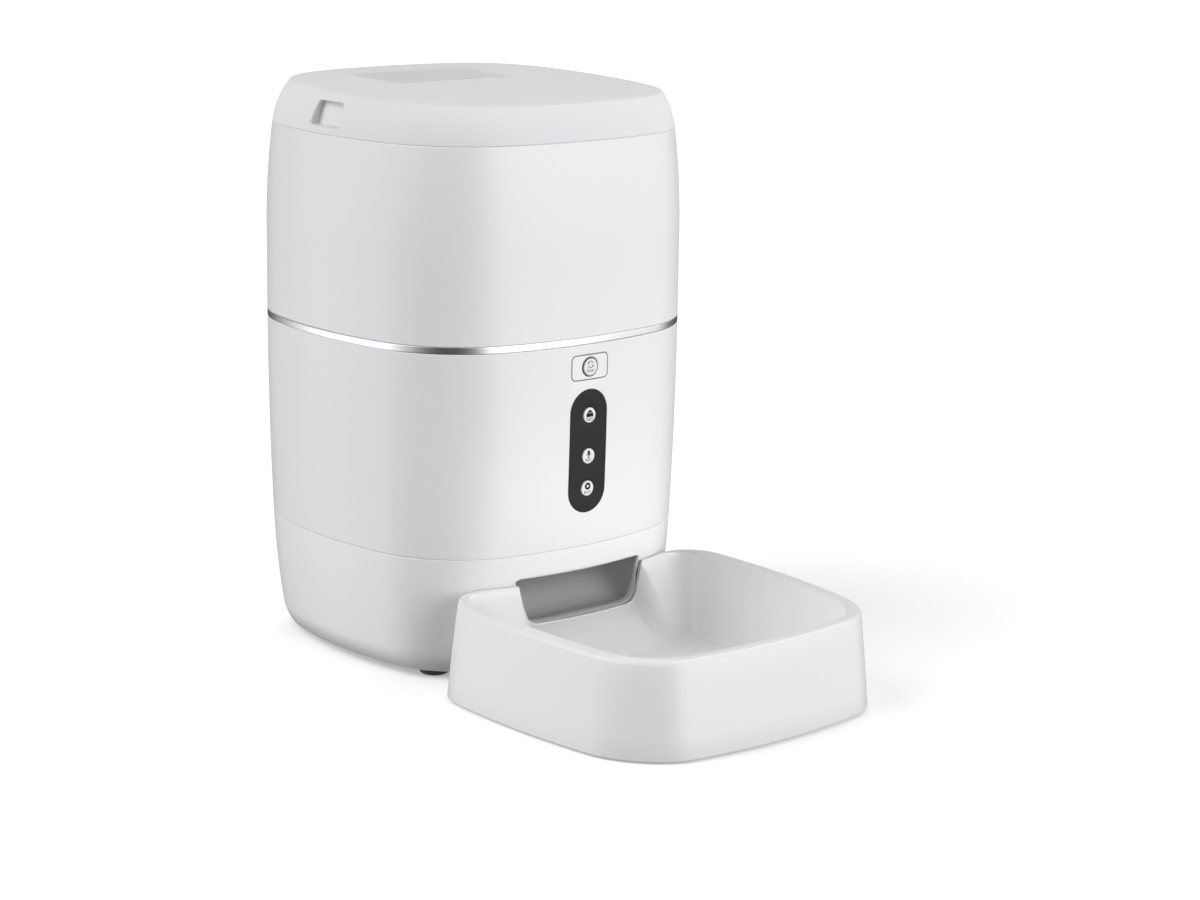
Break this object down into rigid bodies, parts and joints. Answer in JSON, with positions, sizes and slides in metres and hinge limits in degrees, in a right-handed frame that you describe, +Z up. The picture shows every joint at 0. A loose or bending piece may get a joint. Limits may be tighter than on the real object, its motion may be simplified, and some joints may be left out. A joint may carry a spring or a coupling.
{
  "type": "automatic pet feeder",
  "caption": "Tall rounded-square pet feeder with a lift-off lid, food tank, metering wheel, chute, control panel and a slide-out bowl at its foot.",
  "frame": {"origin": "on the floor, under the middle of the body and bowl together", "axes": "+X to the feeder's left as it faces the pet's side, seen from the front to the right, -Y to the front where the bowl is, +Z up"},
  "size_m": [0.21, 0.3636, 0.3145],
  "materials": {
    "shell": "satin white moulded ABS",
    "bowl_plastic": "satin white moulded ABS",
    "inner_plastic": "matt white moulded plastic",
    "tinted_plastic": "matt grey-blue moulded plastic",
    "bright_trim": "bright plated trim",
    "panel": "matt black moulded plastic",
    "button": "satin white moulded plastic",
    "silicone": "soft silicone",
    "rubber": "dark grey rubber",
    "steel": "zinc plated steel",
    "bronze": "sintered bronze",
    "gear_plastic": "natural acetal",
    "circuit_board": "green solder mask"
  },
  "bodies": {
    "feeder": {"food_tank": "shell", "trim_ring": "bright_trim", "hopper_funnel": "inner_plastic", "metering_chamber": "inner_plastic", "chamber_screws": "steel", "shaft_bush": "bronze", "gear_motor": "steel", "motor_bracket": "steel", "motor_screws": "steel", "main_housing": "shell", "control_panel": "panel", "reset_plate": "shell", "control_board": "circuit_board", "tact_switches": "panel", "board_screws": "steel", "food_chute": "inner_plastic", "outlet_sensors": "panel", "base_shell": "shell", "base_plate": "shell", "main_board": "circuit_board", "speaker": "panel", "dc_jack": "panel", "battery_contacts": "steel", "housing_screws": "steel", "rubber_feet": "rubber"},
    "lid_group": {"lid": "shell", "lid_seal": "silicone", "desiccant_cup": "inner_plastic"},
    "desiccant_cap_group": {"desiccant_cap": "tinted_plastic"},
    "wheel_group": {"portion_wheel": "tinted_plastic", "wiper_blades": "silicone", "stirrer": "tinted_plastic", "wheel_shaft": "steel", "wheel_gear": "gear_plastic"},
    "pinion_group": {"motor_pinion": "steel"},
    "feed_button_group": {"feed_button": "button"},
    "record_button_group": {"record_button": "button"},
    "play_button_group": {"play_button": "button"},
    "reset_button_group": {"reset_button": "button"},
    "battery_cover_group": {"battery_cover": "shell"},
    "bowl_group": {"bowl": "bowl_plastic", "bowl_pads": "rubber"}
  },
  "joints": [
    {"name": "lid_lift", "type": "slide", "parent": "feeder", "child": "lid_group", "axis": [0, 0, 1], "range_m": [0, 0.12]},
    {"name": "cap_twist", "type": "hinge", "parent": "lid_group", "child": "desiccant_cap_group", "pos_m": [0, 0.0785, 0.295], "axis": [0, 0, 1], "range_deg": [0, 40]},
    {"name": "bowl_slide", "type": "slide", "parent": "feeder", "child": "bowl_group", "axis": [0, -1, 0], "range_m": [0, 0.12]},
    {"name": "wheel_spin", "type": "hinge", "parent": "feeder", "child": "wheel_group", "pos_m": [0, 0.0785, 0.12], "axis": [0, 0, 1], "continuous": true},
    {"name": "pinion_spin", "type": "hinge", "parent": "feeder", "child": "pinion_group", "pos_m": [0, 0.10475, 0.1], "axis": [0, 0, 1], "continuous": true},
    {"name": "feed_press", "type": "slide", "parent": "feeder", "child": "feed_button_group", "axis": [0, 1, 0], "range_m": [0, 0.0008], "stiffness_N_per_m": 800},
    {"name": "record_press", "type": "slide", "parent": "feeder", "child": "record_button_group", "axis": [0, 1, 0], "range_m": [0, 0.0008], "stiffness_N_per_m": 800},
    {"name": "play_press", "type": "slide", "parent": "feeder", "child": "play_button_group", "axis": [0, 1, 0], "range_m": [0, 0.0008], "stiffness_N_per_m": 800},
    {"name": "reset_press", "type": "slide", "parent": "feeder", "child": "reset_button_group", "axis": [0, 1, 0], "range_m": [0, 0.0008], "stiffness_N_per_m": 800},
    {"name": "battery_cover_pull", "type": "slide", "parent": "feeder", "child": "battery_cover_group", "axis": [0, 0, -1], "range_m": [0, 0.03]}
  ],
  "couplings": [
    {"joint": "pinion_spin", "follows": "wheel_spin", "ratio": -2.5}
  ]
}
